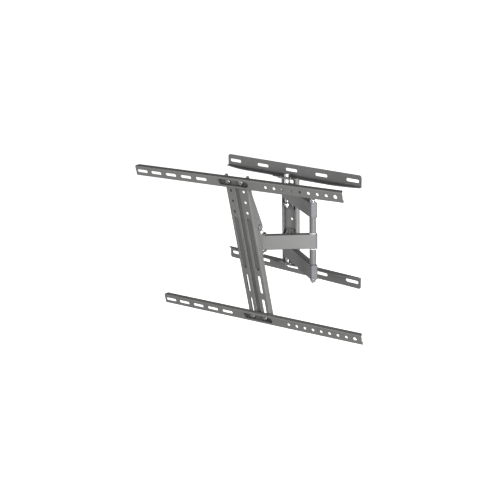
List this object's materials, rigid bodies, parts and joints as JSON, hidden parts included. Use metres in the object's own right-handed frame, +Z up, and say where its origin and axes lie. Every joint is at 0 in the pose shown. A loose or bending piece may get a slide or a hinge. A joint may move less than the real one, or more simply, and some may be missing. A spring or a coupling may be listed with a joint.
{
  "type": "full motion tv wall mount",
  "caption": "Full motion TV wall mount: slotted wall rails on a post, double arm and forearm that fold, swivel head and tilting screen plate with slotted rails.",
  "frame": {"origin": "middle of the wall slot pattern, on the plane of the wall", "axes": "+X right along the wall as seen from the room, +Z up, +Y into the wall, so the mount stands out along -Y"},
  "size_m": [0.6854, 0.4067, 0.4201],
  "materials": {
    "frame_paint": "satin dark grey powder coat",
    "arm_paint": "satin grey powder coat",
    "screen_paint": "satin grey powder coat",
    "cap_plastic": "matte lilac grey moulded plastic",
    "zinc": "bright zinc plate",
    "nylon": "natural nylon",
    "friction_rubber": "matte black friction ring"
  },
  "bodies": {
    "wall_frame": {"upper_wall_rail": "frame_paint", "lower_wall_rail": "frame_paint", "wall_post": "frame_paint", "upper_pivot_bracket": "frame_paint", "lower_pivot_bracket": "frame_paint", "wall_rivets": "zinc", "wall_pivot_bolts": "zinc", "wall_pivot_nuts": "zinc", "wall_pivot_washers": "zinc", "wall_pivot_spacers": "zinc"},
    "double_arm": {"upper_arm_tube": "arm_paint", "lower_arm_tube": "arm_paint", "arm_wall_caps": "cap_plastic", "upper_elbow_cap": "cap_plastic", "lower_elbow_cap": "cap_plastic", "arm_pivot_sleeves": "nylon", "arm_elbow_spacers": "zinc", "upper_column_tube": "arm_paint", "lower_column_tube": "arm_paint", "elbow_bolt": "zinc", "elbow_nut": "zinc", "elbow_washers": "zinc", "elbow_glides": "nylon"},
    "forearm": {"forearm_tube": "arm_paint", "forearm_elbow_cap": "cap_plastic", "forearm_head_cap": "cap_plastic", "forearm_elbow_sleeve": "nylon", "forearm_head_sleeve": "nylon"},
    "head": {"head_yoke": "screen_paint", "swivel_bolt": "zinc", "swivel_nut": "zinc", "swivel_washers": "zinc", "swivel_glides": "nylon"},
    "screen_frame": {"screen_plate": "screen_paint", "left_cheek": "screen_paint", "right_cheek": "screen_paint", "cheek_rivets": "zinc", "upper_screen_rail": "screen_paint", "lower_screen_rail": "screen_paint", "rail_screws": "zinc", "rail_nuts": "zinc", "tilt_bolt": "frame_paint", "tilt_nut": "frame_paint", "tilt_spacers": "zinc", "tilt_friction_washers": "friction_rubber"}
  },
  "joints": [
    {"name": "wall_swivel", "type": "hinge", "parent": "wall_frame", "child": "double_arm", "pos_m": [0, -0.023, 0], "axis": [0, 0, 1], "range_deg": [-75, 12]},
    {"name": "elbow_swivel", "type": "hinge", "parent": "double_arm", "child": "forearm", "pos_m": [0.19756, -0.14077, 0], "axis": [0, 0, 1], "range_deg": [-20, 90]},
    {"name": "head_swivel", "type": "hinge", "parent": "forearm", "child": "head", "pos_m": [0.10069, -0.23764, 0], "axis": [0, 0, 1], "range_deg": [-85, 36]},
    {"name": "screen_tilt", "type": "hinge", "parent": "head", "child": "screen_frame", "pos_m": [0.10786, -0.28561, 0.0555], "axis": [0.989, 0.1478, 0], "range_deg": [-19, 1]}
  ]
}
